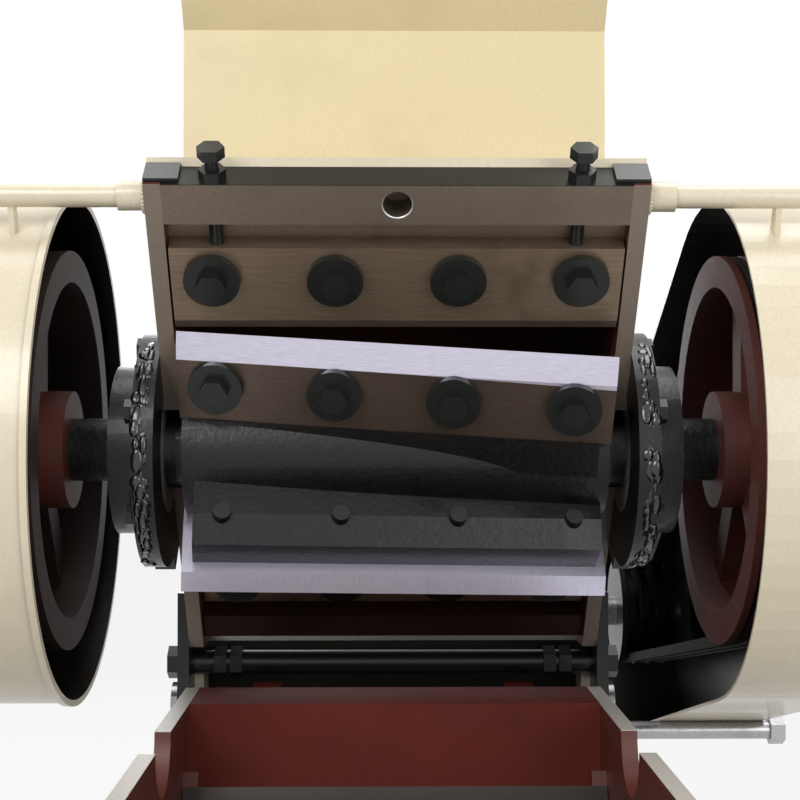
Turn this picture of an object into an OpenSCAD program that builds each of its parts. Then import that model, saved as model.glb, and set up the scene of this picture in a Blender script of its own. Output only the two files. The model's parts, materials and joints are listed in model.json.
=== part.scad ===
// Plastic granulator with its front door swung open.
// X runs along the rotor to the right, Y away from the operator, Z up from the floor.
// The origin is on the floor, in the middle of the four anchor holes.

/* [Rotor] */
// Height of the rotor axis above the floor
rotor_h = 850; // [800:5:900]
// Radius that the rotor knife edges cut at
cut_r = 140; // [134:1:144]
// Radius of the solid rotor core
core_r = 62; // [56:1:66]
// Radius of the rotor shaft
shaft_r = 35; // [30:1:38]
// Length of every knife
knife_len = 400; // [370:1:430]
// Height of every knife from its back to its edge
knife_h = 85; // [80:1:90]
// Thickness of every knife
knife_t = 20; // [16:1:22]
// Slant of the rotor knives for a scissor cut
slant_deg = 4.9; // [3:0.1:6]
// Lean of a rotor knife behind its radius
lean_deg = 18; // [15:1:21]
// Angle of the first rotor knife from the top towards the operator
first_knife_deg = 46; // [40:1:52]
// Length of the rotor arms behind the knives
arm_len = 380; // [350:1:384]

/* [Chamber] */
// Lean of the parting plane towards the operator
tilt = 38; // [36:1:40]
// Thickness of the side plates and door cheeks
plate_t = 15; // [12:1:18]
// Gap between the knife ends and a side plate
side_gap = 2; // [2:0.5:4]
// Gap between the rotor edges and the fixed knives
knife_gap = 1; // [0.8:0.1:2]
// Distance from the rotor axis to the upper end of the parting plane
top_a = 289; // [280:1:300]
// Width of the machined front face of the top beam
bar_h = 39; // [34:1:44]
// Depth of the top face of the top beam
bar_d = 32; // [28:1:40]
// Depth of the side plates behind the rotor axis
plate_back = 300; // [290:1:320]
// Depth of the side plates below the rotor axis
plate_low = 213; // [208:1:218]
// Radius of the half-round shaft notches
notch_r = 48; // [44:1:54]

/* [Knife bolts] */
// Pitch of the knife bolts along a knife
bolt_pitch = 109; // [100:1:112]
// Radius of a knife bolt shank
bolt_r = 8; // [7:0.5:9]
// Radius of a thick knife washer
washer_r = 25; // [22:1:27]
// Thickness of a knife washer
washer_t = 8; // [6:1:9]

/* [Bearings] */
// Radius of a bearing housing flange
housing_r = 112; // [104:1:116]
// Thickness of a bearing housing flange
housing_t = 20; // [16:1:24]
// Height of the boss on a bearing housing
boss_t = 26; // [20:1:30]
// Outer radius of a bearing
bearing_r = 60; // [56:1:64]

/* [Drive] */
// Radius of the flywheel
wheel_r = 190; // [170:1:200]
// Width of the flywheel rim
wheel_w = 80; // [60:1:90]
// Radius of the driven pulley
pulley_r = 186; // [170:1:196]
// Radius of the motor pulley
motor_pulley_r = 70; // [60:1:80]
// Width of both pulleys
pulley_w = 70; // [66:1:76]
// Distance of the motor axis behind the rotor axis
motor_y = 620; // [600:1:640]
// Drop of the motor axis below the rotor axis
motor_drop = 230; // [220:1:240]
// Radius of the motor housing
motor_r = 118; // [110:1:122]
// Shaft height of the motor above its feet
motor_foot_h = 132; // [130:1:136]

/* [Guards] */
// Radius inside the flywheel guard and the front of the belt guard
guard_r = 236; // [226:1:246]
// Radius inside the rear of the belt guard
guard_rear_r = 162; // [150:1:170]
// Sheet thickness of the guards
sheet_t = 3; // [2:0.5:4]
// Distance of the open guard faces from the machine centre
guard_x = 300; // [296:1:304]
// Depth of the flywheel guard
left_guard_w = 125; // [115:1:135]
// Depth of the belt guard
right_guard_w = 118; // [112:1:130]
// Radius of the pipes that carry the guards
pipe_r = 10; // [8:1:12]

/* [Door] */
// Distance from the rotor axis to the hinge end of the door
door_low = 280; // [276:1:286]
// Distance from the rotor axis to the inner wall of the door
door_wall = 183; // [176:1:190]
// Depth of the door housing
door_d = 185; // [175:1:195]
// Thickness of the door walls
door_t = 12; // [8:1:14]
// Distance from the rotor axis to the hinge along the parting plane
hinge_a = 330; // [326:1:336]
// Distance of the hinge in front of the parting plane
hinge_b = 25; // [22:1:28]
// Swing between the closed and the open door
door_swing = 52; // [50:1:53]
// Radius of the door hinge pin
pin_r = 15; // [12:1:17]
// Inner radius of the screen
screen_r = 146; // [145:1:150]
// Thickness of the screen
screen_t = 6; // [4:0.5:7]
// Half the angle that the screen covers
screen_half_deg = 62; // [55:1:66]
// Radius of a screen hole
screen_hole_r = 8; // [6:0.5:9]

/* [Hopper] */
// Width of the hopper
hopper_w = 420; // [404:1:430]
// Distance of the hopper front behind the rotor axis
hopper_front = 50; // [40:1:60]
// Height of the fold above the rotor axis
fold_h = 417; // [400:1:430]
// Sheet thickness of the hopper
hopper_t = 4; // [3:0.5:5]
// Distance of the mouth in front of the rotor axis
mouth_front = 120; // [110:1:130]
// Height of the mouth below the hopper roof
mouth_h = 150; // [130:5:170]
// Height of the hopper roof above the rotor axis
roof_h = 770; // [750:5:790]

/* [Base] */
// Thickness of the base side panels
base_t = 10; // [8:1:12]
// Height of the base underside above the floor
foot_h = 30; // [26:1:40]
// Length of the base in front of the rotor axis
base_front = 400; // [380:5:420]
// Length of the base behind the rotor axis
base_back = 770; // [760:5:790]
// Radius of the floor anchor holes
anchor_r = 7; // [6:0.5:8]
// Height of the granulate bin
bin_h = 285; // [250:5:300]
// Width of the granulate bin
bin_w = 380; // [340:5:390]
// Length of the granulate bin
bin_l = 400; // [360:5:440]

/* [Hidden] */
$fn = 64;
cut = 1;
fit = 0.05;
seat = 0.3;
door_side_gap = 0.5;
mouth_low = roof_h - mouth_h;
in_half = knife_len / 2 + side_gap;
out_half = in_half + plate_t;
door_half = out_half - door_side_gap;
bolt_xs = [-1.5 * bolt_pitch, -0.5 * bolt_pitch, 0.5 * bolt_pitch, 1.5 * bolt_pitch];
head_r = bolt_r * 1.7;
head_t = bolt_r * 1.25;

foot_w = 80;
foot_t = 12;
foot_in = 150;
foot_out = 262;
anchor_x = 240;
foot_inset = 40;
foot_front = base_front - foot_inset;
foot_back = base_back - foot_inset;
anchor_span = foot_front + foot_back;
rotor_y = (foot_front - foot_back) / 2;

fixed_edge = cut_r + knife_gap;
edge_bevel = 9;
edge_set = 3;
low_set = 22;
low_edge = sqrt(fixed_edge * fixed_edge - low_set * low_set);
bolt_from_edge = 54;
seat_t = 20;
upper_back = fixed_edge + knife_h;
bar_low = top_a - bar_h;
bar_hole_r = 13.5;
bar_hole_a = top_a - bar_h / 2;
adjust_x = 158;
adjust_r = 6;
adjust_head_a = 320;
adjust_nut_t = 10;

low_beam_top = 150;
low_beam_foot = 232;
low_beam_end = 262;
low_beam_back = 110;
low_beam_front = 8;
wall_foot = 15;

top_point = to_world(top_a, 0);
top_rear = to_world(top_a, bar_d);
deck_z = top_rear[1];
low_point_y = plate_low * tan(tilt);
hinge_point = to_world(-hinge_a, -hinge_b);
door_angle = tilt + door_swing;
deck_front = 215;
deck_back = 340;
deck_t = 12;
platform_t = 12;
platform_z = rotor_h - motor_drop - motor_foot_h;
front_rail_h = 110;
rail_back = 190;
shelf_t = 8;
panel_t = 8;
mid_panel_y = 262;

tie_y = 200;
tie_z = -234;
tie_r = 13;
lug_t = 12;
lug_r = 30;
lug_top = -155;
lug_front = 160;
lug_back = 245;

motor_z = -motor_drop;
motor_shaft_r = 19;
motor_x0 = -190;
motor_x1 = 230;
motor_fan_w = 80;
motor_shield_w = 26;
motor_shaft_end = 392;
motor_fins = 28;
fin_h = 10;
fin_t = 3.5;
motor_foot_w = 50;
motor_foot_t = 16;
motor_foot_span = 250;
motor_foot_xs = [-70, 120];
pulley_x = guard_x + 6;
pulley_x1 = pulley_x + pulley_w;
shaft_x1 = pulley_x1 + 14;
wheel_x0 = -(guard_x + 8 + wheel_w);
shaft_x0 = wheel_x0 - 14;
end_r = 30;
belts = 3;
belt_pitch = 20;
belt_top = 14;
belt_bottom = 9;
belt_d = 11;
belt_ride = 1;
belt_gap = 0.4;
loop_steps = 36;
wheel_rim_t = 30;
hub_r = 56;
spokes = 5;
spoke_w = 34;
spoke_t = 22;

bin_floor_z = foot_h + shelf_t + seat;
bin_t = 3;
bin_back = 210;
bin_travel = 420;
bin_handle_w = 140;
bin_handle_r = 6;
bin_handle_out = 36;

flap_pin_r = 6;
flap_t = 5;
flap_y = -98;
flap_z = roof_h - 16;
flap_h = 122;
flap_gap = 4;
flap_barrel_r = 10;

lock_r = 12;
lock_knob_r = 18;
lock_knob_t = 24;
lock_block_d = 40;
lock_travel = 30;

// Place of a point given along the parting plane and behind it, as world Y and Z.
function to_world(a, back) = [back * cos(tilt) - a * sin(tilt), a * cos(tilt) + back * sin(tilt)];

module at_axis() {
    translate([0, rotor_y, rotor_h]) children();
}

// Here Z runs up the parting plane and Y behind it.
module at_chamber() {
    at_axis() rotate([tilt, 0, 0]) children();
}

// The same axes for pieces of the door, which stands open.
module at_door() {
    at_axis() translate([0, hinge_point[0], hinge_point[1]]) rotate([door_angle, 0, 0])
        translate([0, hinge_b, hinge_a]) children();
}

// An outline drawn in Y and Z, made w long along X from x0.
module along_x(x0, w) {
    translate([x0, 0, 0]) rotate([90, 0, 90]) linear_extrude(w) children();
}

module round_x(r, x0, w) {
    translate([x0, 0, 0]) rotate([0, 90, 0]) cylinder(r = r, h = w);
}

module hex_x(r, x0, w) {
    translate([x0, 0, 0]) rotate([0, 90, 0]) cylinder(r = r, h = w, $fn = 6);
}

module box_x(x0, x1, y0, y1, z0, z1) {
    translate([x0, y0, z0]) cube([x1 - x0, y1 - y0, z1 - z0]);
}

// Round bar along Y, from y0 to y0 + w.
module round_y(r, y0, w) {
    translate([0, y0, 0]) rotate([-90, 0, 0]) cylinder(r = r, h = w);
}

module hex_y(r, y0, w) {
    translate([0, y0, 0]) rotate([-90, 0, 0]) cylinder(r = r, h = w, $fn = 6);
}

/* Base frame */

module base_outline() {
    polygon([
        [-base_front, foot_h], [-base_front, front_rail_h], [rail_back, front_rail_h],
        [deck_front, rotor_h / 3], [deck_front, rotor_h - plate_low - deck_t],
        [deck_back, rotor_h - plate_low - deck_t], [deck_back, platform_z - platform_t],
        [base_back, platform_z - platform_t], [base_back, foot_h]
    ]);
}

module base_panel(x0) {
    color("oldlace") translate([0, rotor_y, 0]) along_x(x0, base_t) base_outline();
}

module base_left_panel() {
    base_panel(-out_half);
}

module base_right_panel() {
    base_panel(out_half - base_t);
}

module base_floor_plate() {
    x = out_half - base_t;
    color("oldlace") translate([0, rotor_y, 0])
        box_x(-x, x, -base_front, base_back, foot_h, foot_h + shelf_t);
}

module base_mid_panel() {
    x = out_half - base_t;
    color("oldlace") translate([0, rotor_y, 0])
        box_x(-x, x, mid_panel_y, mid_panel_y + panel_t, foot_h + shelf_t,
            rotor_h - plate_low - deck_t);
}

module base_rear_panel() {
    x = out_half - base_t;
    color("oldlace") translate([0, rotor_y, 0])
        box_x(-x, x, base_back - panel_t, base_back, foot_h + shelf_t, platform_z - platform_t);
}

module base_deck() {
    color("oldlace") translate([0, rotor_y, rotor_h - plate_low - deck_t])
        box_x(-out_half, out_half, deck_front, deck_back, 0, deck_t);
}

module motor_platform() {
    color("oldlace") translate([0, rotor_y, platform_z - platform_t])
        box_x(-out_half, out_half, deck_back, base_back, 0, platform_t);
}

module foot() {
    difference() {
        union() {
            translate([foot_in, -foot_w / 2, 0]) cube([foot_out - foot_in, foot_w, foot_t]);
            translate([foot_in, -foot_w / 4, 0]) cube([out_half - foot_in, foot_w / 2, foot_h]);
        }
        translate([anchor_x, 0, -cut]) cylinder(r = anchor_r, h = foot_t + 2 * cut);
    }
}

module feet() {
    color("dimgray") for (side = [0, 1], y = [-anchor_span / 2, anchor_span / 2])
        translate([0, y, 0]) mirror([side, 0, 0]) foot();
}

/* Cutting chamber */

module side_outline() {
    polygon([
        top_point, [low_point_y, -plate_low], [plate_back, -plate_low],
        [plate_back, deck_z], top_rear
    ]);
}

module side_plate(x0) {
    color("firebrick") at_axis() difference() {
        along_x(x0, plate_t) side_outline();
        round_x(notch_r, x0 - cut, plate_t + 2 * cut);
    }
}

module left_side_plate() {
    side_plate(-out_half);
}

module right_side_plate() {
    side_plate(in_half);
}

module top_beam() {
    color("gray") at_chamber() difference() {
        along_x(-in_half, 2 * in_half) polygon([
            [0, bar_low], [0, top_a], [bar_d, top_a], [seat_t + knife_t, top_a - bar_d / 2],
            [seat_t + knife_t, fixed_edge + edge_bevel], [knife_t, fixed_edge + edge_bevel],
            [knife_t, bar_low]
        ]);
        translate([0, 0, bar_hole_a]) round_y(bar_hole_r, -cut, bar_d);
        for (x = [-adjust_x, adjust_x]) translate([x, knife_t / 2, bar_low - cut])
            cylinder(r = adjust_r + seat, h = bar_h + 2 * cut);
        for (x = bolt_xs) translate([x, 0, fixed_edge + bolt_from_edge])
            round_y(bolt_r + seat, knife_t - cut, seat_t + 2 * cut);
    }
}

module lower_knife_beam() {
    color("firebrick") at_chamber() difference() {
        along_x(-in_half, 2 * in_half) polygon([
            [low_set + knife_t, -low_beam_top], [low_beam_back, -low_beam_top],
            [low_beam_back, -low_beam_end], [low_beam_front, -low_beam_end],
            [low_beam_front, -low_beam_foot], [low_set + knife_t, -low_beam_foot]
        ]);
        for (x = bolt_xs) translate([x, 0, -low_edge - bolt_from_edge])
            round_y(bolt_r + seat, low_set + knife_t - cut, seat_t + cut);
    }
}

module rear_wall() {
    color("firebrick") at_axis() along_x(-in_half, 2 * in_half) polygon([
        to_world(-low_beam_top, low_beam_back - wall_foot),
        to_world(-low_beam_top, low_beam_back),
        [plate_back, deck_z], [plate_back - wall_foot, deck_z]
    ]);
}

module throat_deck() {
    color("bisque") at_axis() translate([0, 0, deck_z])
        box_x(-out_half, out_half, top_rear[0], hopper_front, 0, panel_t);
}

module fixed_knife_profile() {
    polygon([
        [0, knife_h], [0, edge_bevel], [edge_set, 0], [knife_t, 0], [knife_t, knife_h]
    ]);
}

module fixed_knife() {
    difference() {
        along_x(-knife_len / 2, knife_len) fixed_knife_profile();
        for (x = bolt_xs) translate([x, 0, bolt_from_edge])
            round_y(bolt_r + seat, -cut, knife_t + 2 * cut);
    }
}

module at_upper_knife() {
    at_chamber() translate([0, 0, fixed_edge]) children();
}

module at_lower_knife() {
    at_chamber() translate([0, low_set, -low_edge]) mirror([0, 0, 1]) children();
}

module upper_fixed_knife() {
    color("silver") at_upper_knife() fixed_knife();
}

module lower_fixed_knife() {
    color("silver") at_lower_knife() fixed_knife();
}

module knife_washer() {
    difference() {
        round_y(washer_r, -washer_t, washer_t);
        round_y(bolt_r + seat, -washer_t - cut, washer_t + 2 * cut);
    }
}

// A hex bolt whose head bears on a washer at y = -washer_t.
module knife_bolt(reach) {
    hex_y(head_r, -washer_t - head_t, head_t);
    round_y(bolt_r, -washer_t, washer_t + reach);
}

module fixed_knife_washers() {
    color("darkslategray") {
        at_upper_knife() for (x = bolt_xs) translate([x, 0, bolt_from_edge]) knife_washer();
        at_lower_knife() for (x = bolt_xs) translate([x, 0, bolt_from_edge]) knife_washer();
    }
}

module fixed_knife_bolts() {
    reach = knife_t + seat_t - 2 * cut;
    color("dimgray") {
        at_upper_knife() for (x = bolt_xs) translate([x, 0, bolt_from_edge]) knife_bolt(reach);
        at_lower_knife() for (x = bolt_xs) translate([x, 0, bolt_from_edge]) knife_bolt(reach);
    }
}

module adjusting_bolts() {
    color("black") at_chamber() for (x = [-adjust_x, adjust_x])
        translate([x, knife_t / 2, 0]) {
            translate([0, 0, upper_back]) cylinder(r = adjust_r, h = adjust_head_a - upper_back);
            translate([0, 0, adjust_head_a - adjust_nut_t])
                cylinder(r = adjust_r * 2, h = adjust_nut_t, $fn = 6);
        }
}

module adjusting_lock_nuts() {
    color("black") at_chamber() for (x = [-adjust_x, adjust_x])
        translate([x, knife_t / 2, top_a]) difference() {
            cylinder(r = adjust_r * 2, h = adjust_nut_t, $fn = 6);
            translate([0, 0, -cut]) cylinder(r = adjust_r + seat, h = adjust_nut_t + 2 * cut);
        }
}

module beam_end_blocks() {
    w = 2 * plate_t;
    color("black") at_chamber() for (side = [0, 1]) mirror([side, 0, 0])
        box_x(out_half - w, out_half, bar_d / 8, bar_d, top_a, top_a + shelf_t / 2);
}

/* Rotor */

// Here Z points out along a knife's radius and its edge is at the origin.
module at_rotor_knife(i) {
    at_axis() rotate([first_knife_deg + 120 * i, 0, 0]) rotate([0, 0, -slant_deg])
        translate([0, 0, cut_r - rotor_edge_rise]) rotate([-lean_deg, 0, 0]) children();
}

// The ends of a slanted straight edge lie further out than its middle.
half_spread = knife_len / 2 * sin(slant_deg);
rotor_edge_rise = cut_r - sqrt(cut_r * cut_r - half_spread * half_spread);
knife_front = 7;
knife_back = knife_t - knife_front;
rotor_bevel = 26;
rotor_relief = 14;
rotor_bolt_drop = 50;
arm_tip = 24;
arm_t = 47;
arm_chamfer = 26;
arm_root = 120;
arm_lip = 2;
arm_bolt_out = 6;

module rotor_arm() {
    difference() {
        along_x(-arm_len / 2, arm_len) polygon([
            [knife_back, -arm_tip], [knife_back + arm_t - arm_lip * 6, -arm_tip],
            [knife_back + arm_t, -arm_tip - arm_chamfer], [knife_back + arm_t, -arm_root],
            [-knife_front - arm_lip, -arm_root], [-knife_front - arm_lip, -knife_h],
            [knife_back, -knife_h]
        ]);
        for (x = bolt_xs) translate([x, 0, -rotor_bolt_drop])
            round_y(bolt_r + seat, knife_back - cut, arm_t + 2 * cut);
    }
}

module rotor_body() {
    color("dimgray") {
        difference() {
            at_axis() round_x(core_r, -in_half + side_gap * 2, 2 * in_half - side_gap * 4);
            for (i = [0 : 2]) at_rotor_knife(i)
                box_x(-in_half, in_half, -knife_front - arm_lip, knife_back, -knife_h, 0);
        }
        at_axis() round_x(shaft_r, -out_half - housing_t - boss_t - side_gap,
            2 * (out_half + housing_t + boss_t + side_gap));
        at_axis() round_x(end_r, shaft_x0, shaft_x1 - shaft_x0);
        for (i = [0 : 2]) at_rotor_knife(i) rotor_arm();
    }
}

// The ends of a slanted knife are ground parallel to the side plates.
module rotor_knife(i) {
    swing = cut_r + side_gap;
    color("silver") difference() {
        at_rotor_knife(i) along_x(-knife_len / 2, knife_len) polygon([
            [-knife_front, -knife_h], [-knife_front, -rotor_bevel], [0, 0],
            [knife_back, -rotor_relief], [knife_back, -knife_h]
        ]);
        at_rotor_knife(i) for (x = bolt_xs) translate([x, 0, -rotor_bolt_drop])
            round_y(bolt_r + seat, -knife_front - cut, knife_t + 2 * cut);
        at_axis() for (side = [0, 1]) mirror([side, 0, 0])
            box_x(in_half - side_gap, out_half, -swing, swing, -swing, swing);
    }
}

module rotor_knife_1() {
    rotor_knife(0);
}

module rotor_knife_2() {
    rotor_knife(1);
}

module rotor_knife_3() {
    rotor_knife(2);
}

module at_rotor_bolts() {
    for (i = [0 : 2]) at_rotor_knife(i) for (x = bolt_xs)
        translate([x, -knife_front, -rotor_bolt_drop]) children();
}

module rotor_knife_washers() {
    color("darkslategray") at_rotor_bolts() knife_washer();
}

module rotor_knife_bolts() {
    color("dimgray") at_rotor_bolts() knife_bolt(knife_t + arm_t + arm_bolt_out);
}

/* Bearings */

module bearing_housing() {
    difference() {
        union() {
            round_x(housing_r, out_half, housing_t);
            round_x(bearing_r + housing_t, out_half, housing_t + boss_t);
            rotate([tilt, 0, 0]) along_x(out_half, housing_t) polygon([
                [-housing_r * 0.36, -housing_r * 0.8], [-housing_r * 0.3, -housing_r * 1.12],
                [housing_r * 0.3, -housing_r * 1.12], [housing_r * 0.36, -housing_r * 0.8]
            ]);
        }
        round_x(bearing_r, out_half - cut, housing_t + boss_t + 2 * cut);
    }
}

module left_bearing_housing() {
    color("black") at_axis() mirror([1, 0, 0]) bearing_housing();
}

module right_bearing_housing() {
    color("black") at_axis() bearing_housing();
}

module bearing() {
    difference() {
        round_x(bearing_r, out_half, housing_t + boss_t);
        round_x(shaft_r + fit, out_half - cut, housing_t + boss_t + 2 * cut);
    }
}

module left_bearing() {
    color("silver") at_axis() mirror([1, 0, 0]) bearing();
}

module right_bearing() {
    color("silver") at_axis() bearing();
}

module bearing_housing_bolts() {
    ring = (housing_r + bearing_r + housing_t) / 2;
    color("dimgray") at_axis() for (side = [0, 1], k = [0 : 5]) mirror([side, 0, 0])
        rotate([tilt + 30 + 60 * k, 0, 0]) translate([0, 0, ring])
            hex_x(bolt_r * 1.4, out_half + housing_t, bolt_r);
}

/* Drive */

module spoked_wheel(r, w, bore_r) {
    difference() {
        union() {
            difference() {
                round_x(r, 0, w);
                round_x(r - wheel_rim_t, -cut, w + 2 * cut);
            }
            round_x(hub_r, 0, w);
            for (k = [0 : spokes - 1]) rotate([k * 360 / spokes, 0, 0])
                box_x((w - spoke_t) / 2, (w + spoke_t) / 2, -spoke_w / 2, spoke_w / 2,
                    hub_r - wheel_rim_t / 3, r - wheel_rim_t * 2 / 3);
        }
        round_x(bore_r, -cut, w + 2 * cut);
    }
}

module flywheel() {
    color("darkred") at_axis() translate([wheel_x0, 0, 0])
        spoked_wheel(wheel_r, wheel_w, end_r);
}

// Ring cut out of a pulley for one belt.
module groove(r) {
    rotate([0, 90, 0]) rotate_extrude() polygon([
        [r + cut, -belt_top / 2 - cut], [r + cut, belt_top / 2 + cut],
        [r - belt_d - belt_ride - cut, belt_bottom / 2], [r - belt_d - belt_ride - cut, -belt_bottom / 2]
    ]);
}

module grooves(r) {
    for (k = [0 : belts - 1])
        translate([pulley_w / 2 + (k - (belts - 1) / 2) * belt_pitch, 0, 0]) groove(r);
}

module driven_pulley() {
    color("darkred") at_axis() translate([pulley_x, 0, 0]) difference() {
        spoked_wheel(pulley_r, pulley_w, end_r);
        grooves(pulley_r);
    }
}

module at_motor() {
    at_axis() translate([0, motor_y, motor_z]) children();
}

module motor_pulley() {
    color("dimgray") at_motor() translate([pulley_x, 0, 0]) difference() {
        round_x(motor_pulley_r, 0, pulley_w);
        round_x(motor_shaft_r, -cut, pulley_w + 2 * cut);
        grooves(motor_pulley_r);
    }
}

// Outline round two circles, one at the rotor axis and one at the motor axis,
// with both arcs stepped.
module loop_outline(r1, r2) {
    span = sqrt(motor_y * motor_y + motor_z * motor_z);
    dir = atan2(motor_z, motor_y);
    bend = acos((r1 - r2) / span);
    polygon(concat(
        [for (i = [0 : loop_steps]) let (a = dir + bend + i * (360 - 2 * bend) / loop_steps)
            r1 * [cos(a), sin(a)]],
        [for (i = [0 : loop_steps]) let (a = dir - bend + i * 2 * bend / loop_steps)
            [motor_y, motor_z] + r2 * [cos(a), sin(a)]]
    ));
}

module drive_belts() {
    out = belt_gap - belt_ride;
    color("black") at_axis() for (k = [0 : belts - 1])
        along_x(pulley_x + pulley_w / 2 + (k - (belts - 1) / 2) * belt_pitch - belt_bottom / 2
            + belt_gap, belt_bottom - 2 * belt_gap) difference() {
            loop_outline(pulley_r + out, motor_pulley_r + out);
            loop_outline(pulley_r + out - belt_d, motor_pulley_r + out - belt_d);
        }
}

module motor_housing() {
    x0 = motor_x0 + motor_fan_w;
    x1 = motor_x1 - motor_shield_w;
    color("slategray") at_motor() difference() {
        union() {
            along_x(x0, x1 - x0) {
                circle(r = motor_r - fin_h);
                for (k = [0 : motor_fins - 1]) rotate(k * 360 / motor_fins)
                    translate([motor_r - 2 * fin_h, -fin_t / 2]) square([2 * fin_h, fin_t]);
            }
            round_x(motor_r, x1, motor_shield_w);
            for (x = motor_foot_xs) {
                box_x(x - motor_foot_w / 2, x + motor_foot_w / 2, -motor_foot_span / 2,
                    motor_foot_span / 2, -motor_foot_h, -motor_foot_h + motor_foot_t);
                box_x(x - motor_foot_w / 2, x + motor_foot_w / 2, -motor_r / 2, motor_r / 2,
                    -motor_foot_h, -motor_r / 2);
            }
        }
        round_x(motor_shaft_r + fit, x0 - cut, motor_x1 - x0 + 2 * cut);
    }
}

module motor_fan_cover() {
    color("slategray") at_motor() round_x(motor_r + fin_h / 2, motor_x0, motor_fan_w);
}

module motor_terminal_box() {
    color("slategray") at_motor()
        box_x(-motor_r / 2, motor_r / 2, -motor_r / 2, motor_r / 2, motor_r, motor_r * 1.5);
}

module motor_shaft() {
    x0 = motor_x0 + motor_fan_w;
    color("silver") at_motor() round_x(motor_shaft_r, x0, motor_shaft_end - x0);
}

/* Guards and their pipes */

module left_guard() {
    outer = guard_r + sheet_t;
    color("oldlace") at_axis() mirror([1, 0, 0]) difference() {
        union() {
            round_x(outer, guard_x, left_guard_w);
            round_x(outer + sheet_t, guard_x, 2 * sheet_t);
        }
        round_x(guard_r, guard_x - cut, left_guard_w - sheet_t + cut);
    }
}

module belt_guard() {
    color("oldlace") at_axis() difference() {
        along_x(guard_x, right_guard_w) loop_outline(guard_r + sheet_t, guard_rear_r + sheet_t);
        along_x(guard_x - cut, right_guard_w - sheet_t + cut) loop_outline(guard_r, guard_rear_r);
    }
}

pipe_y = -152;
pipe_z = 222;
sleeve_r = pipe_r + 3;
sleeve_w = 24;
tab_t = 5;
pipe_gap = 2;
lower_pipe_y = lug_back + pipe_r + pipe_gap;

// A pipe welded to the side plate, with two tabs that hold the guard under it.
module top_pipe(w) {
    far = guard_x + w + 2 * sheet_t;
    translate([0, pipe_y, pipe_z]) round_x(pipe_r, out_half, far - out_half);
    translate([0, pipe_y, pipe_z]) round_x(sleeve_r, out_half, sleeve_w);
    for (x = [guard_x + w / 4, guard_x + w * 3 / 4]) difference() {
        along_x(x, tab_t) polygon([
            [pipe_y - pipe_r / 2, pipe_z], [pipe_y + pipe_r / 2, pipe_z + pipe_r / 2],
            [pipe_y * 0.8, pipe_z * 0.8], [pipe_y * 0.92, pipe_z * 0.75]
        ]);
        round_x(guard_r + sheet_t, x - cut, tab_t + 2 * cut);
    }
}

module left_top_pipe() {
    color("oldlace") at_axis() mirror([1, 0, 0]) top_pipe(left_guard_w);
}

module right_top_pipe() {
    color("oldlace") at_axis() top_pipe(right_guard_w);
}

// Height of the underside of the belt guard at a place behind the rotor axis.
function guard_under(y) = let (
        span = sqrt(motor_y * motor_y + motor_z * motor_z),
        dir = atan2(motor_z, motor_y),
        bend = acos((guard_r - guard_rear_r) / span),
        n = dir - bend
    ) ((guard_r + sheet_t) - y * cos(n)) / sin(n);

function guard_lean() = atan2(motor_z, motor_y)
    - acos((guard_r - guard_rear_r) / sqrt(motor_y * motor_y + motor_z * motor_z)) + 90;

module right_lower_pipe() {
    z = guard_under(lower_pipe_y) - pipe_r / cos(guard_lean());
    far = guard_x + right_guard_w + 2 * sheet_t;
    color("gray") at_axis() translate([0, lower_pipe_y, z]) {
        round_x(pipe_r, out_half, far - out_half);
        hex_x(pipe_r * 1.6, far, pipe_r * 1.6);
    }
}

/* Hopper */

roof_back = 100;
hopper_back = plate_back;
shoulder_h = 560;

module hopper_outline(t, open) {
    polygon([
        [hopper_front + t, -open], [hopper_front + t, fold_h - deck_z + t / 3],
        [-mouth_front - open + t / 3, mouth_low - deck_z + t * 1.2],
        [-mouth_front - open, mouth_low - deck_z + t * 1.2],
        [-mouth_front - open, roof_h - deck_z - t],
        [roof_back - t / 3, roof_h - deck_z - t],
        [hopper_back - t, shoulder_h - deck_z - t / 3], [hopper_back - t, -open]
    ]);
}

module hopper() {
    half = hopper_w / 2;
    color("bisque") at_axis() translate([0, 0, deck_z]) difference() {
        union() {
            along_x(-half, hopper_w) hopper_outline(0, 0);
            box_x(-out_half, out_half, hopper_front, hopper_back, 0, panel_t);
        }
        along_x(-half + hopper_t, hopper_w - 2 * hopper_t) hopper_outline(hopper_t, cut);
    }
}

module flap_pin() {
    half = hopper_w / 2 - hopper_t;
    color("silver") at_axis() translate([0, flap_y, flap_z])
        round_x(flap_pin_r, -half, 2 * half);
}

module feed_flap() {
    half = hopper_w / 2 - hopper_t - flap_gap;
    color("dimgray") at_axis() translate([0, flap_y, flap_z]) difference() {
        union() {
            round_x(flap_barrel_r, -half, 2 * half);
            box_x(-half, half, -flap_t / 2, flap_t / 2, -flap_h, 0);
        }
        round_x(flap_pin_r + fit, -half - cut, 2 * half + 2 * cut);
    }
}

/* Hinge of the door */

module hinge_lugs() {
    hy = hinge_point[0];
    hz = hinge_point[1];
    color("black") at_axis() for (side = [0, 1]) mirror([side, 0, 0])
        difference() {
            along_x(out_half, lug_t) {
                translate([hy, hz]) circle(r = lug_r);
                polygon([
                    [lug_front, lug_top], [lug_back, lug_top], [lug_back, hz],
                    [hy + lug_r, hz], [hy - lug_r, hz], [lug_front, hz + lug_r]
                ]);
            }
            translate([0, hy, hz]) round_x(pin_r, out_half - cut, lug_t + 2 * cut);
            translate([0, tie_y, tie_z]) round_x(tie_r, out_half - cut, lug_t + 2 * cut);
        }
}

module hinge_pin() {
    half = out_half + lug_t;
    color("dimgray") at_axis() translate([0, hinge_point[0], hinge_point[1]]) {
        round_x(pin_r, -half, 2 * half);
        for (side = [0, 1]) mirror([side, 0, 0]) round_x(pin_r * 1.5, half, pin_r / 2);
    }
}

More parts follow.
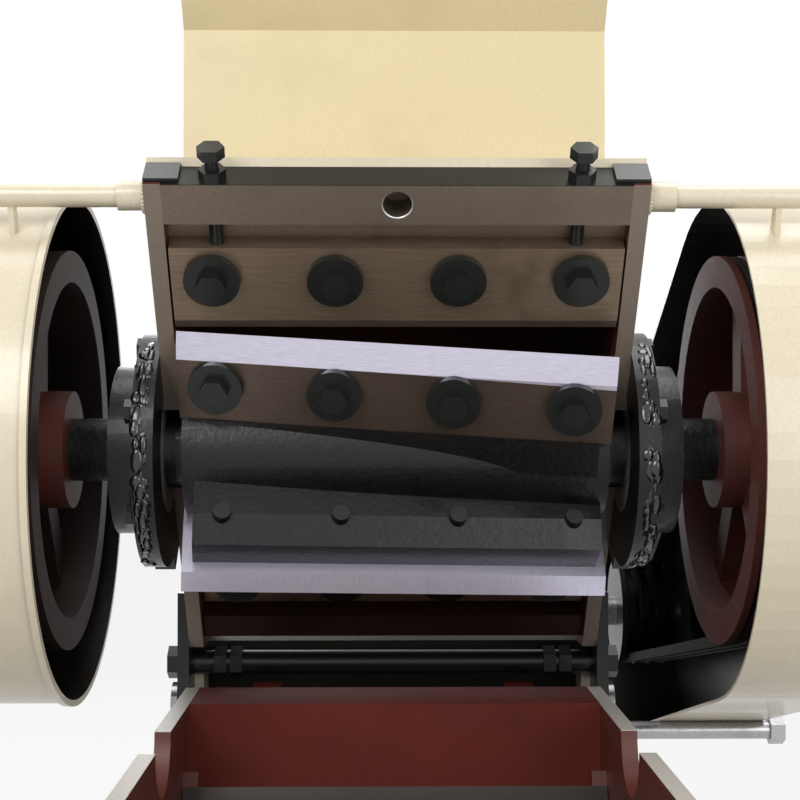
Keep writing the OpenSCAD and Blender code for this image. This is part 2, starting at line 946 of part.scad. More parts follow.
module tie_rod() {
    half = out_half + lug_t;
    color("black") at_axis() translate([0, tie_y, tie_z]) {
        round_x(tie_r, -half, 2 * half);
        for (side = [0, 1]) mirror([side, 0, 0]) {
            hex_x(tie_r * 1.35, half, tie_r * 1.1);
            hex_x(tie_r * 1.35, in_half - tie_r * 3, tie_r);
            hex_x(tie_r * 1.35, in_half - tie_r * 1.7, tie_r);
        }
    }
}

/* Front door, in the axes of the chamber when it is shut */

door_tip_d = 60;
door_low_d = 150;
door_tip_a = 150;
arm_x = 120;
arm_w = 30;
barrel_r = 22;
flange_t = 20;
seat_ring_t = 12;
seat_w = 14;
seat_half_deg = 68;

module cheek_outline() {
    polygon([
        [0, -door_low], [0, top_a], [-door_tip_d, top_a], [-door_d, door_tip_a],
        [-door_d, -door_tip_a], [-door_low_d, -door_low]
    ]);
}

// Half-round strip on a cheek that the edge of the screen rests on.
module screen_seat(x0) {
    r = screen_r + screen_t + seat;
    difference() {
        round_x(r + seat_ring_t, x0, seat_w);
        round_x(r, x0 - cut, seat_w + 2 * cut);
        along_x(x0 - cut, seat_w + 2 * cut) polygon([
            [0, 0], 3 * r * [-cos(seat_half_deg), sin(seat_half_deg)], [0, 3 * r], [3 * r, 3 * r],
            [3 * r, -3 * r], [0, -3 * r], 3 * r * [-cos(seat_half_deg), -sin(seat_half_deg)]
        ]);
    }
}

module door_cheek(x0, seat_x) {
    color("firebrick") at_door() difference() {
        union() {
            along_x(x0, door_half - in_half) cheek_outline();
            screen_seat(seat_x);
        }
        round_x(notch_r, x0 - cut, plate_t + 2 * cut);
    }
}

module door_left_cheek() {
    door_cheek(-door_half, -in_half);
}

module door_right_cheek() {
    door_cheek(in_half, in_half - seat_w);
}

module hinge_arm(x0) {
    difference() {
        along_x(x0, arm_w) {
            translate([-hinge_b, -hinge_a]) circle(r = barrel_r);
            polygon([
                [-flange_t, -door_low], [-flange_t, -door_low + arm_w],
                [-hinge_b - barrel_r, -door_low + arm_w], [-hinge_b - barrel_r, -hinge_a],
                [-hinge_b, -hinge_a], [-flange_t, -hinge_a + barrel_r / 2]
            ]);
        }
        translate([0, -hinge_b, -hinge_a]) round_x(pin_r + fit, x0 - cut, arm_w + 2 * cut);
    }
}

module door_end_wall() {
    color("firebrick") at_door() {
        along_x(-in_half, 2 * in_half) polygon([
            [0, -door_low], [0, -door_wall], [-door_d, -door_wall],
            [-door_d, -door_wall - door_t], [-flange_t, -door_wall - door_t],
            [-flange_t, -door_low]
        ]);
        hinge_arm(-arm_x - arm_w);
        hinge_arm(arm_x);
    }
}

outlet_top = -40;

module door_cover() {
    color("oldlace") at_door() along_x(-in_half, 2 * in_half) polygon([
        [-lock_block_d, bar_low], [-door_d, door_tip_a], [-door_d, outlet_top],
        [-door_d + door_t, outlet_top], [-door_d + door_t, door_tip_a - door_t / 2],
        [-lock_block_d, bar_low - door_t * 1.2]
    ]);
}

module door_top_bar() {
    color("gray") at_door() difference() {
        along_x(-in_half, 2 * in_half) polygon([
            [0, bar_low], [0, top_a], [-lock_block_d, top_a], [-lock_block_d, bar_low - door_t * 1.2],
            [-lock_block_d + door_t, bar_low - door_t * 1.2]
        ]);
        translate([0, 0, bar_hole_a]) round_y(lock_r + fit, -lock_block_d - cut, lock_block_d + 2 * cut);
    }
}

screen_rows = 7;
screen_cols = 11;
screen_half = in_half - side_gap / 2;

module screen() {
    color("silver") at_door() difference() {
        round_x(screen_r + screen_t, -screen_half, 2 * screen_half);
        round_x(screen_r, -screen_half - cut, 2 * screen_half + 2 * cut);
        along_x(-screen_half - cut, 2 * screen_half + 2 * cut) polygon([
            [0, 0], 3 * screen_r * [-cos(screen_half_deg), sin(screen_half_deg)],
            [0, 3 * screen_r], [3 * screen_r, 3 * screen_r], [3 * screen_r, -3 * screen_r],
            [0, -3 * screen_r], 3 * screen_r * [-cos(screen_half_deg), -sin(screen_half_deg)]
        ]);
        for (i = [0 : screen_rows - 1], j = [0 : screen_cols - 1])
            rotate([90 + (i - (screen_rows - 1) / 2) * screen_half_deg * 1.7 / screen_rows, 0, 0])
                translate([(j - (screen_cols - 1) / 2) * (2 * screen_half - 40) / screen_cols, 0,
                    screen_r - cut]) cylinder(r = screen_hole_r, h = screen_t + 2 * cut);
    }
}

module locking_bolt() {
    color("black") at_door() translate([0, 0, bar_hole_a]) {
        round_y(lock_r, -lock_block_d - lock_travel - cut, lock_block_d + lock_travel);
        round_y(lock_knob_r, -lock_block_d - lock_travel - lock_knob_t, lock_knob_t);
    }
}

/* Granulate bin */

module granulate_bin() {
    half = bin_w / 2;
    color("lightgray") translate([0, rotor_y, bin_floor_z]) {
        difference() {
            box_x(-half, half, bin_back - bin_l, bin_back, 0, bin_h);
            box_x(-half + bin_t, half - bin_t, bin_back - bin_l + bin_t, bin_back - bin_t,
                bin_t, bin_h + cut);
        }
        translate([0, bin_back - bin_l - bin_handle_out, bin_h * 2 / 3]) {
            round_x(bin_handle_r, -bin_handle_w / 2, bin_handle_w);
            for (x = [-bin_handle_w / 2 + bin_handle_r, bin_handle_w / 2 - bin_handle_r])
                translate([x, 0, 0]) round_y(bin_handle_r, 0, bin_handle_out);
        }
    }
}

base_left_panel();
base_right_panel();
base_floor_plate();
base_mid_panel();
base_rear_panel();
base_deck();
motor_platform();
feet();
left_side_plate();
right_side_plate();
top_beam();
lower_knife_beam();
rear_wall();
throat_deck();
upper_fixed_knife();
lower_fixed_knife();
fixed_knife_washers();
fixed_knife_bolts();
adjusting_bolts();
adjusting_lock_nuts();
beam_end_blocks();
rotor_body();
rotor_knife_1();
rotor_knife_2();
rotor_knife_3();
rotor_knife_washers();
rotor_knife_bolts();
left_bearing_housing();
right_bearing_housing();
left_bearing();
right_bearing();
bearing_housing_bolts();
flywheel();
driven_pulley();
drive_belts();
motor_housing();
motor_fan_cover();
motor_terminal_box();
motor_shaft();
motor_pulley();
left_guard();
belt_guard();
left_top_pipe();
right_top_pipe();
right_lower_pipe();
hopper();
feed_flap();
flap_pin();
hinge_lugs();
hinge_pin();
tie_rod();
door_left_cheek();
door_right_cheek();
door_end_wall();
door_cover();
door_top_bar();
screen();
locking_bolt();
granulate_bin();
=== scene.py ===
import json
import math
import random

import bpy
from mathutils import Euler, Matrix, Vector


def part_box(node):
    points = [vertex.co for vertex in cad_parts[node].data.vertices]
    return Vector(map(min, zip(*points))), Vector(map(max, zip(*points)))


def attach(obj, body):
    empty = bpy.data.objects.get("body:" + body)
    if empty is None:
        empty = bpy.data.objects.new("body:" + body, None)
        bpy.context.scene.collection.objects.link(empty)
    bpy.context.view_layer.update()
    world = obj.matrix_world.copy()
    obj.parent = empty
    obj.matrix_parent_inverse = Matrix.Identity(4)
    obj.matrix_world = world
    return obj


bl_info = {
    "name": "Plastic granulator",
    "version": (1, 0, 0),
    "blender": (4, 5, 0),
    "location": "View3D > Sidebar > Granulator",
    "description": "Finishes and small pieces of a plastic granulator with its door open",
    "category": "Object",
}

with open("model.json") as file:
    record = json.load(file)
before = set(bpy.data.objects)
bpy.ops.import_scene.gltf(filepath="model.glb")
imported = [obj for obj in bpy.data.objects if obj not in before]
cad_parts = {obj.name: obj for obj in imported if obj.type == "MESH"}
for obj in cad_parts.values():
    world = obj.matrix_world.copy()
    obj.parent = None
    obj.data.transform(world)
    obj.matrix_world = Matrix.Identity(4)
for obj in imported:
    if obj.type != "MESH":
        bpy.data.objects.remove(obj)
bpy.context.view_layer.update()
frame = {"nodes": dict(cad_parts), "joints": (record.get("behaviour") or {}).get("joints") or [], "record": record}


def joint_place(name):
    """A point on the axis of a joint, in metres."""
    return Vector(next(j for j in frame["joints"] if j["name"] == name)["pos_m"])


MM = 0.001
AXIS = joint_place("rotor_spin")
MOTOR = joint_place("motor_spin")

# The parting plane leans towards the operator and passes through the rotor axis.
TILT = math.radians(38)
PARTING_NORMAL = Vector((0, -math.cos(TILT), -math.sin(TILT)))
PARTING_UP = Vector((0, -math.sin(TILT), math.cos(TILT)))

# Sizes of the frame that the finishes and the small pieces follow
BEAM_TOP = 289 * MM
BEAM_FACE = 39 * MM
TOP_PIPE = Vector((0, -152, 222)) * MM
EDGE_BEVEL_FROM = 117 * MM
HUB_R = 58 * MM

# The camera of the photograph, from the rotor axis
CAMERA_FROM_AXIS = Vector((-17.6, -1501.6, 25.4)) * MM
CAMERA_UP_DEG = 0.85
CAMERA_RIGHT_DEG = 0.85
LENS_MM = 70.2

# Name, place, size in metres and power in watts of each soft lamp
LAMPS = (
    ("key", (-1.3, -2.6, 2.3), 1.4, 46), ("fill", (1.6, -2.4, 1.3), 1.6, 26),
    ("top", (0.2, 0.2, 3.2), 2.0, 40), ("rear", (-1.2, 3.0, 2.0), 2.0, 40),
)
WORLD_LEVEL = 0.42
FLOOR_WHITE = 0.85

# Size of the broad stains of a finish, and how far a mask reaches past its plane
STAIN = 90 * MM
MASK_REACH = 0.6 * MM


def linear(code):
    """Turns an sRGB hex colour into the linear values that Blender uses."""
    parts = [int(code[i:i + 2], 16) / 255 for i in (1, 3, 5)]
    return [c / 12.92 if c <= 0.04045 else ((c + 0.055) / 1.055) ** 2.4 for c in parts]


def colour_property(label, code):
    """A colour that a user can change, given as an sRGB hex value."""
    return bpy.props.FloatVectorProperty(
        name=label, description=label, subtype="COLOR", size=3, min=0, max=1,
        default=linear(code))


class GranulatorColours(bpy.types.PropertyGroup):
    cream: colour_property("Cream enamel", "#DBD0B6")
    primer: colour_property("Red oxide primer", "#5E2A22")
    bare: colour_property("Bare machined steel", "#85776A")
    ground: colour_property("Ground knife steel", "#D9D4E6")
    oxide: colour_property("Black oxide", "#232725")
    iron: colour_property("Greasy cast iron", "#0C0C0D")
    motor: colour_property("Motor paint", "#5A636B")


def length_property(label, description, size_mm):
    """A length that a user can change, given in millimetres."""
    return bpy.props.FloatProperty(
        name=label, description=description, default=size_mm * MM, unit="LENGTH",
        min=0, precision=4)


class GranulatorSizes(bpy.types.PropertyGroup):
    grease_blobs: bpy.props.IntProperty(
        name="Grease blobs", description="Blobs of grease on each bearing housing",
        default=70, min=0, max=200)
    weld_step: length_property("Weld step", "Distance between the ripples of a weld", 3.2)
    weld_bead_r: length_property("Weld bead", "Radius of one ripple of a weld", 2.6)
    weld_ring_r: length_property("Weld ring", "Radius of the weld round a pipe sleeve", 13.5)
    rim_r: length_property("Lock hole rim", "Radius of the rim in the lock hole", 13.6)
    rim_wire_r: length_property("Lock hole wire", "Radius of the rim's section", 1.2)
    rim_depth: length_property("Lock hole depth", "Depth of the rim in the beam", 1.5)
    grille_r: length_property("Fan grille", "Radius of the innermost ring", 30)
    grille_step: length_property("Fan grille step", "Distance between two rings", 14)
    lid_t: length_property("Lid", "Thickness of the terminal box lid", 8)
    lid_over: length_property("Lid overhang", "Width that the lid is wider than its box", 6)


def add(tree, kind, inputs=None, **settings):
    """Adds a node, sets it up and gives each input a value or a link."""
    node = tree.nodes.new(kind)
    for key, value in settings.items():
        setattr(node, key, value)
    for key, value in (inputs or {}).items():
        if isinstance(value, bpy.types.NodeSocket):
            tree.links.new(value, node.inputs[key])
        else:
            node.inputs[key].default_value = value
    return node


def beyond_plane(point, normal):
    """A mask that is 1 where the surface lies beyond a plane."""
    def mask(tree, coord):
        offset = add(tree, "ShaderNodeVectorMath", {0: coord, 1: point}, operation="SUBTRACT")
        height = add(tree, "ShaderNodeVectorMath", {0: offset.outputs[0], 1: normal},
                     operation="DOT_PRODUCT")
        return add(tree, "ShaderNodeMath", {0: height.outputs["Value"], 1: -MASK_REACH},
                   operation="GREATER_THAN").outputs[0]
    return mask


def beyond_radius(radius):
    """A mask that is 1 further from the rotor axis than a radius."""
    def mask(tree, coord):
        offset = add(tree, "ShaderNodeVectorMath", {0: coord, 1: AXIS}, operation="SUBTRACT")
        flat = add(tree, "ShaderNodeVectorMath", {0: offset.outputs[0], 1: (0, 1, 1)},
                   operation="MULTIPLY")
        length = add(tree, "ShaderNodeVectorMath", {0: flat.outputs[0]}, operation="LENGTH")
        return add(tree, "ShaderNodeMath", {0: length.outputs["Value"], 1: radius},
                   operation="GREATER_THAN").outputs[0]
    return mask


def facing_inwards(centre):
    """A mask that is 1 on the faces of a shell that look at a point inside it."""
    def mask(tree, coord):
        offset = add(tree, "ShaderNodeVectorMath", {0: coord, 1: centre}, operation="SUBTRACT")
        normal = add(tree, "ShaderNodeNewGeometry").outputs["True Normal"]
        side = add(tree, "ShaderNodeVectorMath", {0: offset.outputs[0], 1: normal},
                   operation="DOT_PRODUCT")
        return add(tree, "ShaderNodeMath", {0: side.outputs["Value"], 1: 0.0},
                   operation="LESS_THAN").outputs[0]
    return mask


def middle(node):
    """The middle of a piece of the frame."""
    low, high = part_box(node)
    return (low + high) / 2


def surface(name, base, dirt, grain_mm, rough, metal=0.0, bump_mm=0.05, stretch=(1, 1, 1),
            coat=0.0, amount=0.5, specular=0.5, mask=None, masked=None):
    """A finish with grain of a real size, broad dirt, and an area of another colour."""
    mat = bpy.data.materials.new(name)
    mat.use_nodes = True
    tree = mat.node_tree
    shader = tree.nodes["Principled BSDF"]
    coord = add(tree, "ShaderNodeTexCoord").outputs["Object"]
    place = add(tree, "ShaderNodeMapping", {"Vector": coord, "Scale": stretch}).outputs[0]
    grain = add(tree, "ShaderNodeTexNoise", {
        "Vector": place, "Scale": 1 / (grain_mm * MM), "Detail": 4.0}).outputs[0]
    broad = add(tree, "ShaderNodeTexNoise", {
        "Vector": coord, "Scale": 1 / STAIN, "Detail": 8.0, "Roughness": 0.62}).outputs[0]
    spots = add(tree, "ShaderNodeMapRange", {
        "Value": broad, "From Min": 0.42, "From Max": 0.72, "To Max": amount}).outputs[0]
    streaks = add(tree, "ShaderNodeMapRange", {
        "Value": grain, "From Min": 0.3, "From Max": 0.7, "To Max": amount * 0.7}).outputs[0]
    both = add(tree, "ShaderNodeMath", {0: spots, 1: streaks}, operation="MAXIMUM").outputs[0]
    colour = add(tree, "ShaderNodeMix", {0: both, 6: (*base, 1), 7: (*dirt, 1)},
                 data_type="RGBA").outputs[2]
    if mask:
        where = mask(tree, coord)
        masked_tone = add(tree, "ShaderNodeMix", {0: streaks, 6: (*masked, 1),
                                            7: (*[c * 0.6 for c in masked], 1)},
                    data_type="RGBA").outputs[2]
        colour = add(tree, "ShaderNodeMix", {0: where, 6: colour, 7: masked_tone},
                     data_type="RGBA").outputs[2]
    polish = add(tree, "ShaderNodeMapRange", {
        "Value": grain, "To Min": rough - 0.1, "To Max": rough + 0.12}).outputs[0]
    height = add(tree, "ShaderNodeBump", {
        "Height": grain, "Distance": bump_mm * MM, "Strength": 0.7}).outputs[0]
    tree.links.new(colour, shader.inputs["Base Color"])
    tree.links.new(polish, shader.inputs["Roughness"])
    tree.links.new(height, shader.inputs["Normal"])
    shader.inputs["Metallic"].default_value = metal
    shader.inputs["Coat Weight"].default_value = coat
    shader.inputs["Specular IOR Level"].default_value = specular
    return mat


def shade(colour, factor):
    """A colour made darker or lighter by a factor."""
    return [c * factor for c in colour]


def make_finishes(c):
    """Every finish of the machine, by name."""
    ground = list(c.ground)
    door_top = Vector((AXIS.x, AXIS.y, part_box("door_left_cheek")[1].z))
    beam_top = AXIS + PARTING_UP * BEAM_TOP
    # Near-black painted shade for the inner faces of the guards
    guard_inside_shade = linear("#16130F")
    steel = dict(grain_mm=0.8, metal=0.75)
    return {
        # Stove enamel on sheet steel: glossy, with handling marks
        "cream_enamel": surface("cream_enamel", list(c.cream), linear("#A09680"), 3.0, 0.32,
                                bump_mm=0.03, coat=0.4, amount=0.3),
        # The hopper has the same enamel, yellowed
        "hopper_enamel": surface("hopper_enamel", linear("#E2D2A9"), linear("#B7A67E"), 3.0,
                                 0.35, bump_mm=0.03, coat=0.3, amount=0.3),
        # The guards' inner faces are painted near-black, a painted shade inside the drums
        "left_guard_enamel": surface(
            "left_guard_enamel", list(c.cream), linear("#A09680"), 3.0, 0.3, bump_mm=0.03,
            coat=0.2, amount=0.3, mask=facing_inwards(middle("left_guard")), masked=guard_inside_shade),
        "belt_guard_enamel": surface(
            "belt_guard_enamel", list(c.cream), linear("#A09680"), 3.0, 0.3, bump_mm=0.03,
            coat=0.2, amount=0.3, mask=facing_inwards(middle("belt_guard")), masked=guard_inside_shade),
        # The inside of the base, dark with dust of plastic and oil
        "grimy_enamel": surface("grimy_enamel", linear("#2A2620"), linear("#15120F"), 6.0, 0.7,
                                specular=0.2),
        # Brushed oxide primer, worn through to bare steel on the machined front edges
        "plate_primer": surface("plate_primer", list(c.primer), linear("#2E1B17"), 2.5, 0.5,
                                mask=beyond_plane(AXIS, PARTING_NORMAL), masked=list(c.bare)),
        # The door's primer, with its joint faces planed bare; their light grey, lighter than the other bare steel,
        # is a painted highlight
        "door_primer": surface("door_primer", list(c.primer), linear("#33201B"), 2.5, 0.45,
                               mask=beyond_plane(door_top, Vector((0, 0, 1))),
                               masked=linear("#C4BEB4")),
        # Primer on a rough casting, dulled by dust
        "wheel_primer": surface("wheel_primer", shade(c.primer, 0.8), linear("#1C100E"), 4.0,
                                0.55, bump_mm=0.3),
        # The flywheel is a greasy casting, with primer left on its hub
        "flywheel_iron": surface("flywheel_iron", shade(c.primer, 0.9), linear("#2A1512"), 4.0,
                                 0.5, bump_mm=0.3, mask=beyond_radius(HUB_R),
                                 masked=linear("#2B1E1A")),
        # The band of the door is primed all over, also on its joint face
        "band_primer": surface("band_primer", linear("#6B2A22"), linear("#35201A"), 2.0, 0.7,
                               specular=0.15),
        # The lower beam's primer is painted nearly black, a painted shade for the beam in the dark under the rotor
        # knife
        "dark_primer": surface("dark_primer", linear("#30160F"), linear("#120D0B"), 3.0, 0.6,
                               specular=0.2),
        # Planed mild steel with long tool marks along the machine
        "machined_steel": surface("machined_steel", list(c.bare), linear("#4C433B"),
                                  rough=0.42, stretch=(0.03, 1, 1), **steel),
        # The top beam: planed in front, black with oil on top
        "beam_steel": surface("beam_steel", list(c.bare), linear("#4C433B"), rough=0.42,
                              stretch=(0.3, 1, 0.06), mask=beyond_plane(beam_top, PARTING_UP),
                              masked=linear("#2A2825"), **steel),
        # Tool steel knives, brushed and stained by plastic; the brown tone of the steel is partly a painted
        # reflection of the red door
        "knife_steel": surface("knife_steel", linear("#97836F"), linear("#55473C"),
                               rough=0.36, stretch=(0.02, 1, 1), amount=0.8, **steel),
        # The same steel with a bright ground bevel at the cutting edge
        "edge_steel": surface("edge_steel", linear("#67594F"), linear("#3A312B"), rough=0.34,
                              stretch=(0.02, 1, 1), amount=0.7, mask=beyond_radius(EDGE_BEVEL_FROM),
                              masked=ground, **steel),
        # Bright ground tool steel, with fine lines across the edge
        "ground_steel": surface("ground_steel", ground, linear("#8D879A"), rough=0.3,
                                stretch=(1, 0.05, 0.05), **steel),
        # Black oxide on turned steel, with a green cast from oil
        "black_oxide": surface("black_oxide", list(c.oxide), linear("#0E100F"), 1.5, 0.38,
                               metal=0.5, coat=0.2),
        # Cast iron, nearly black under a film of oil
        "greasy_iron": surface("greasy_iron", list(c.iron), linear("#1D1A18"), 5.0, 0.34,
                               metal=0.1, bump_mm=0.6, coat=0.1, specular=0.35),
        # Black bearing grease, wet and lumpy
        "grease": surface("grease", linear("#0B0B0D"), linear("#232328"), 2.0, 0.16,
                          bump_mm=0.4, coat=0.6, amount=0.6),
        # Matt belt rubber
        "rubber": surface("rubber", linear("#161616"), linear("#2A2928"), 1.2, 0.75),
        # Grey machine paint, half matt
        "motor_paint": surface("motor_paint", list(c.motor), linear("#30353A"), 2.0, 0.45),
        # Ground bar with a bright skin
        "bright_steel": surface("bright_steel", linear("#B9B9BC"), linear("#6E6C6B"),
                                rough=0.28, stretch=(0.1, 1, 1), **steel),
        # The screen is mild steel, dark with oil
        "screen_steel": surface("screen_steel", linear("#3B3532"), linear("#1D1917"),
                                rough=0.45, **steel),
        # Galvanised sheet with its faint spangle
        "zinc_sheet": surface("zinc_sheet", linear("#A6A8A9"), linear("#7B7E80"), 12.0, 0.4,
                              metal=0.7, bump_mm=0.02),
    }


FINISH_OF_SLOT = {
    "cream_paint": "cream_enamel", "red_primer": "plate_primer",
    "machined_steel": "machined_steel", "knife_steel": "knife_steel",
    "black_steel": "black_oxide", "rotor_steel": "greasy_iron",
    "housing_iron": "greasy_iron", "belt_rubber": "rubber", "motor_paint": "motor_paint",
    "bright_steel": "bright_steel", "zinc_sheet": "zinc_sheet",
}
FINISH_OF_NODE = {
    "rotor_knife_1": "edge_steel", "rotor_knife_2": "ground_steel",
    "rotor_knife_3": "ground_steel", "flywheel": "flywheel_iron",
    "driven_pulley": "wheel_primer", "door_left_cheek": "door_primer",
    "door_right_cheek": "door_primer", "door_end_wall": "band_primer",
    "lower_knife_beam": "dark_primer", "right_lower_pipe": "bright_steel",
    "top_beam": "beam_steel", "hopper": "hopper_enamel", "screen": "screen_steel",
    "left_guard": "left_guard_enamel", "belt_guard": "belt_guard_enamel",
    "base_mid_panel": "grimy_enamel", "base_floor_plate": "grimy_enamel",
    "base_deck": "grimy_enamel",
}


def start():
    """Deselects everything before a new piece is made."""
    bpy.ops.object.select_all(action="DESELECT")


def join_copies(template, places, name):
    """Copies one modelled piece to many places and makes the copies one object."""
    start()
    copies = []
    for place in places:
        copy = template.copy()
        copy.data = template.data.copy()
        copy.data.transform(place)
        bpy.context.scene.collection.objects.link(copy)
        copy.select_set(True)
        copies.append(copy)
    bpy.data.objects.remove(template)
    bpy.context.view_layer.objects.active = copies[0]
    bpy.ops.object.join()
    piece = bpy.context.view_layer.objects.active
    piece.name = name
    return piece


def dress(piece, body, finish):
    """Gives a new piece its body and finish."""
    piece.data.materials.clear()
    piece.data.materials.append(bpy.data.materials[finish])
    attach(piece, body)


def settle():
    """Puts the place of the active new object into its mesh."""
    bpy.ops.object.transform_apply(location=True, rotation=True, scale=True)
    return bpy.context.view_layer.objects.active


class GranulatorOperator:
    """What all operators of the granulator share."""
    bl_options = {"REGISTER", "UNDO"}


class GRAN_OT_finishes(GranulatorOperator, bpy.types.Operator):
    """Make the finishes and give one to every piece of the frame"""
    bl_idname = "granulator.finishes"
    bl_label = "Finishes"

    def execute(self, context):
        finishes = make_finishes(context.scene.granulator_colours)
        slots = {row["node"]: row["material_slot"] for row in frame["record"]["subparts"]}
        for name, node in frame["nodes"].items():
            finish = FINISH_OF_NODE.get(name, FINISH_OF_SLOT[slots[name]])
            for entry in node.material_slots:
                entry.material = finishes[finish]
        return {"FINISHED"}


class GRAN_OT_grease(GranulatorOperator, bpy.types.Operator):
    """Put blobs of grease on the bearing housings"""
    bl_idname = "granulator.grease"
    bl_label = "Grease"

    def execute(self, context):
        draw = random.Random(7)
        start()
        bpy.ops.mesh.primitive_ico_sphere_add(subdivisions=2, radius=1.0)
        blob = bpy.context.view_layer.objects.active
        bpy.ops.object.mode_set(mode="EDIT")
        bpy.ops.transform.vertex_random(offset=0.25, seed=3)
        bpy.ops.mesh.vertices_smooth(factor=0.3, repeat=1)
        bpy.ops.object.mode_set(mode="OBJECT")
        bpy.ops.object.shade_smooth()
        places = []
        for node, side in (("left_bearing_housing", -1), ("right_bearing_housing", 1)):
            low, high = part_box(node)
            inner = high.x if side < 0 else low.x
            for _ in range(context.scene.granulator_sizes.grease_blobs):
                turn = draw.uniform(0.5, 2.9)
                radius = draw.uniform(110, 112.5) * MM
                x = inner + side * draw.uniform(7.5, 17) * MM
                centre = Vector((x, AXIS.y - math.sin(turn) * radius,
                                 AXIS.z + math.cos(turn) * radius))
                size = [draw.uniform(3, 6.5) * MM, draw.uniform(5, 14) * MM,
                        draw.uniform(1.2, 3.0) * MM]
                places.append(Matrix.LocRotScale(centre, Euler((turn, 0, 0)), size))
        dress(join_copies(blob, places, "bearing_grease"), "machine", "grease")
        return {"FINISHED"}


class GRAN_OT_welds(GranulatorOperator, bpy.types.Operator):
    """Run weld beads round the pipe sleeves on the side plates"""
    bl_idname = "granulator.welds"
    bl_label = "Welds"

    def execute(self, context):
        sizes = context.scene.granulator_sizes
        radius = sizes.weld_ring_r
        count = int(2 * math.pi * radius / sizes.weld_step)
        start()
        bpy.ops.mesh.primitive_uv_sphere_add(
            segments=10, ring_count=6, radius=sizes.weld_bead_r)
        bead = settle()
        bpy.ops.object.shade_smooth()
        places = []
        for node, side in (("left_top_pipe", -1), ("right_top_pipe", 1)):
            low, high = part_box(node)
            x = (high.x if side < 0 else low.x) + side * MM
            centre = Vector((x, 0, 0)) + Vector((0, AXIS.y, AXIS.z)) + TOP_PIPE
            for k in range(count):
                turn = 2 * math.pi * k / count
                offset = Vector((0, math.cos(turn), math.sin(turn))) * radius
                places.append(Matrix.Translation(centre + offset))
        dress(join_copies(bead, places, "pipe_welds"), "machine", "cream_enamel")
        return {"FINISHED"}


class GRAN_OT_hole_ring(GranulatorOperator, bpy.types.Operator):
    """Turn the bright rim just inside the lock hole of the top beam"""
    bl_idname = "granulator.hole_ring"
    bl_label = "Lock hole ring"

    def execute(self, context):
        sizes = context.scene.granulator_sizes
        start()
        up = BEAM_TOP - BEAM_FACE / 2
        centre = AXIS + PARTING_UP * up - PARTING_NORMAL * sizes.rim_depth
        centre.x = middle("locking_bolt").x
        bpy.ops.mesh.primitive_torus_add(
            major_radius=sizes.rim_r, minor_radius=sizes.rim_wire_r, major_segments=64,
            minor_segments=10, location=centre,
            rotation=PARTING_NORMAL.to_track_quat("Z", "Y").to_euler())
        ring = settle()
        ring.name = "lock_hole_ring"
        bpy.ops.object.shade_smooth()
        dress(ring, "machine", "bright_steel")
        return {"FINISHED"}


class GRAN_OT_fan_grille(GranulatorOperator, bpy.types.Operator):
    """Model the rings of the fan grille"""
    bl_idname = "granulator.fan_grille"
    bl_label = "Fan grille"

    def execute(self, context):
        sizes = context.scene.granulator_sizes
        low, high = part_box("motor_fan_cover")
        start()
        bpy.ops.mesh.primitive_torus_add(
            major_radius=1.0, minor_radius=0.025, major_segments=48, minor_segments=8,
            rotation=(0, math.pi / 2, 0))
        ring = settle()
        bpy.ops.object.shade_smooth()
        centre = Vector((low.x - 0.4 * MM, MOTOR.y, MOTOR.z))
        radii = [sizes.grille_r + sizes.grille_step * k for k in range(6)]
        places = [Matrix.LocRotScale(centre, None, (0.035, r, r)) for r in radii]
        dress(join_copies(ring, places, "fan_grille"), "machine", "black_oxide")
        return {"FINISHED"}


class GRAN_OT_terminal_lid(GranulatorOperator, bpy.types.Operator):
    """Model the lid of the terminal box"""
    bl_idname = "granulator.terminal_lid"
    bl_label = "Terminal box lid"

    def execute(self, context):
        sizes = context.scene.granulator_sizes
        low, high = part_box("motor_terminal_box")
        start()
        bpy.ops.mesh.primitive_cube_add(
            size=1, location=((low.x + high.x) / 2, (low.y + high.y) / 2, high.z - MM),
            scale=(high.x - low.x + sizes.lid_over, high.y - low.y + sizes.lid_over,
                   sizes.lid_t))
        lid = settle()
        lid.name = "terminal_box_lid"
        bevel = lid.modifiers.new("edge", "BEVEL")
        bevel.width = 2.5 * MM
        bevel.segments = 3
        bpy.ops.object.modifier_apply(modifier="edge")
        dress(lid, "machine", "motor_paint")
        return {"FINISHED"}


def seen_directly(tree):
    """1 for rays from the camera, and for what metal and glass show of the background."""
    path = add(tree, "ShaderNodeLightPath")
    both = add(tree, "ShaderNodeMath", {0: path.outputs["Is Camera Ray"],
                                        1: path.outputs["Is Glossy Ray"]},
               operation="MAXIMUM").outputs[0]
    return add(tree, "ShaderNodeMath", {0: both, 1: path.outputs["Is Transmission Ray"]},
               operation="MAXIMUM").outputs[0]


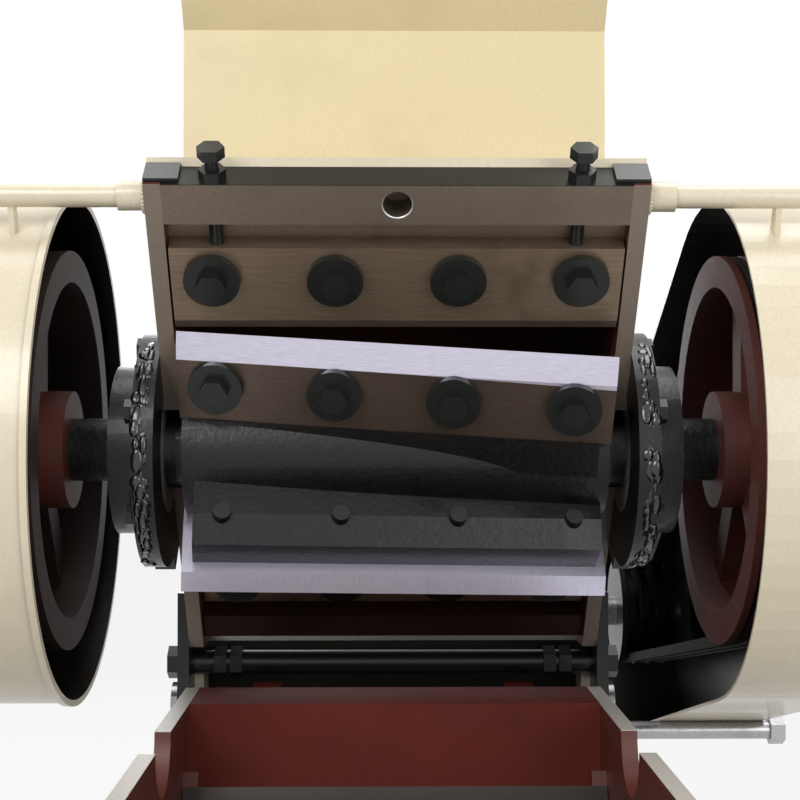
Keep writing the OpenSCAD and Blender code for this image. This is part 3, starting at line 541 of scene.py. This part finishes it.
class GRAN_OT_stage(GranulatorOperator, bpy.types.Operator):
    """Set the floor, the lamps and the camera"""
    bl_idname = "granulator.stage"
    bl_label = "Stage"

    def execute(self, context):
        scene = context.scene
        start()
        bpy.ops.mesh.primitive_plane_add(size=60)
        floor = bpy.context.view_layer.objects.active
        floor.name = "floor"
        mat = bpy.data.materials.new("pale_floor")
        mat.use_nodes = True
        tree = mat.node_tree
        shader = tree.nodes["Principled BSDF"]
        shader.inputs["Base Color"].default_value = (0.5, 0.5, 0.5, 1)
        shader.inputs["Roughness"].default_value = 0.9
        white = add(tree, "ShaderNodeEmission", {"Color": (1, 1, 1, 1), "Strength": 1.0})
        part = add(tree, "ShaderNodeMath", {0: seen_directly(tree), 1: FLOOR_WHITE},
                   operation="MULTIPLY").outputs[0]
        blend = add(tree, "ShaderNodeMixShader", {0: part, 1: shader.outputs[0],
                                                  2: white.outputs[0]})
        tree.links.new(blend.outputs[0], tree.nodes["Material Output"].inputs["Surface"])
        floor.data.materials.append(mat)

        world = scene.world or bpy.data.worlds.new("studio")
        scene.world = world
        world.use_nodes = True
        tree = world.node_tree
        level = add(tree, "ShaderNodeMapRange", {
            "Value": seen_directly(tree), "To Min": WORLD_LEVEL, "To Max": 1.0}).outputs[0]
        back = tree.nodes["Background"]
        back.inputs["Color"].default_value = (1, 1, 1, 1)
        tree.links.new(level, back.inputs["Strength"])

        for name, place, size, power in LAMPS:
            lamp = bpy.data.lights.new(name, "AREA")
            lamp.size = size
            lamp.energy = power
            holder = bpy.data.objects.new(name, lamp)
            holder.location = place
            aim = AXIS - Vector(place)
            holder.rotation_euler = aim.to_track_quat("-Z", "Y").to_euler()
            scene.collection.objects.link(holder)

        camera = bpy.data.cameras.new("camera")
        camera.lens = LENS_MM
        camera.clip_end = 100
        holder = bpy.data.objects.new("camera", camera)
        holder.location = AXIS + CAMERA_FROM_AXIS
        holder.rotation_euler = (
            math.radians(90 + CAMERA_UP_DEG), 0, math.radians(-CAMERA_RIGHT_DEG))
        scene.collection.objects.link(holder)
        scene.camera = holder
        scene.view_settings.view_transform = "Standard"
        return {"FINISHED"}


class GRAN_PT_panel(bpy.types.Panel):
    """The granulator's colours, sizes and operators"""
    bl_label = "Granulator"
    bl_idname = "GRAN_PT_panel"
    bl_space_type = "VIEW_3D"
    bl_region_type = "UI"
    bl_category = "Granulator"

    def draw(self, context):
        for group in (context.scene.granulator_colours, context.scene.granulator_sizes):
            for name in group.__annotations__:
                self.layout.prop(group, name)
        for operator in OPERATORS:
            self.layout.operator(operator.bl_idname)


OPERATORS = (GRAN_OT_stage, GRAN_OT_finishes, GRAN_OT_grease, GRAN_OT_welds,
             GRAN_OT_hole_ring, GRAN_OT_fan_grille, GRAN_OT_terminal_lid)
CLASSES = (GranulatorColours, GranulatorSizes) + OPERATORS + (GRAN_PT_panel,)


def register():
    """Registers the classes and their properties."""
    for cls in CLASSES:
        bpy.utils.register_class(cls)
    bpy.types.Scene.granulator_colours = bpy.props.PointerProperty(type=GranulatorColours)
    bpy.types.Scene.granulator_sizes = bpy.props.PointerProperty(type=GranulatorSizes)


def unregister():
    """Takes the classes and their properties away again."""
    del bpy.types.Scene.granulator_sizes
    del bpy.types.Scene.granulator_colours
    for cls in reversed(CLASSES):
        bpy.utils.unregister_class(cls)


def main():
    """Makes the pieces in order."""
    register()
    bpy.ops.granulator.stage()
    bpy.ops.granulator.finishes()
    bpy.ops.granulator.grease()
    bpy.ops.granulator.welds()
    bpy.ops.granulator.hole_ring()
    bpy.ops.granulator.fan_grille()
    bpy.ops.granulator.terminal_lid()


if __name__ == "__main__":
    main()
